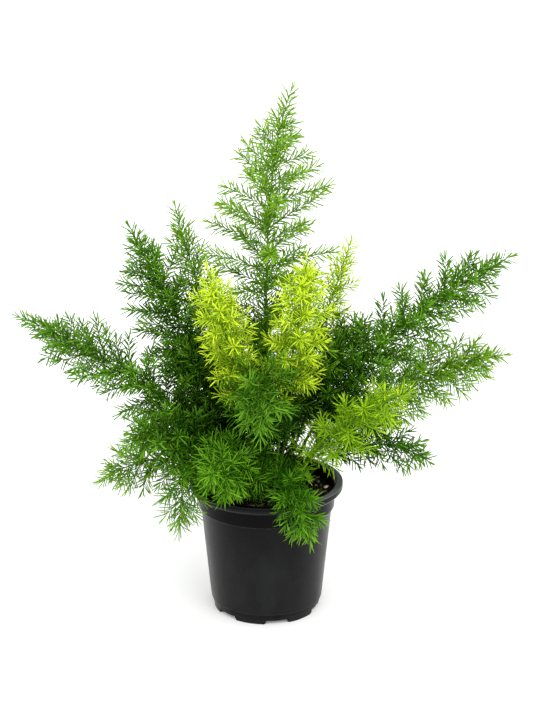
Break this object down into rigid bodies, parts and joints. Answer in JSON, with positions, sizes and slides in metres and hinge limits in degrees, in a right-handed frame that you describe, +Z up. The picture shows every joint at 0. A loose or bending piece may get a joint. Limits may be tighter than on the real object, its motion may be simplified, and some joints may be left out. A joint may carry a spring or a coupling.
{
  "type": "potted foxtail fern",
  "caption": "Foxtail fern with feathery green and yellow-green plumes of fine needles, growing in potting mix in a round black nursery pot",
  "frame": {"origin": "middle of the pot's foot, on the surface that the pot stands on", "axes": "+Z up through the pot; -Y is the plant's front, where the bright plume and the hanging frond are; +X is to the viewer's right, along the long right frond"},
  "size_m": [0.5292, 0.3009, 0.5595],
  "materials": {
    "pot_black": "satin",
    "potting_mix": "matte",
    "pebble": "matte",
    "foliage_deep": "satin",
    "foliage_mid": "satin",
    "foliage_fresh": "satin",
    "foliage_lime": "satin"
  },
  "bodies": {
    "root": {"pot": "pot_black", "potting_mix": "potting_mix", "pebble": "pebble", "frond_tall": "foliage_mid", "frond_left_high": "foliage_deep", "frond_left_back": "foliage_mid", "frond_left_long": "foliage_deep", "frond_left_inner": "foliage_deep", "frond_left_mid": "foliage_deep", "frond_left_low": "foliage_mid", "frond_left_droop": "foliage_mid", "frond_right_upper": "foliage_deep", "frond_right_lower": "foliage_mid", "frond_right_inner": "foliage_deep", "frond_right_low": "foliage_deep", "frond_lime_left": "foliage_lime", "frond_lime_centre": "foliage_lime", "frond_lime_back": "foliage_lime", "frond_lime_low": "foliage_lime", "frond_front_centre": "foliage_deep", "frond_front_ball": "foliage_fresh", "frond_front_droop": "foliage_fresh", "frond_back_centre": "foliage_deep", "frond_back_left": "foliage_deep", "frond_back_right": "foliage_mid", "frond_back_low_left": "foliage_mid", "frond_back_low_right": "foliage_deep", "frond_back_droop": "foliage_fresh"}
  },
  "joints": []
}
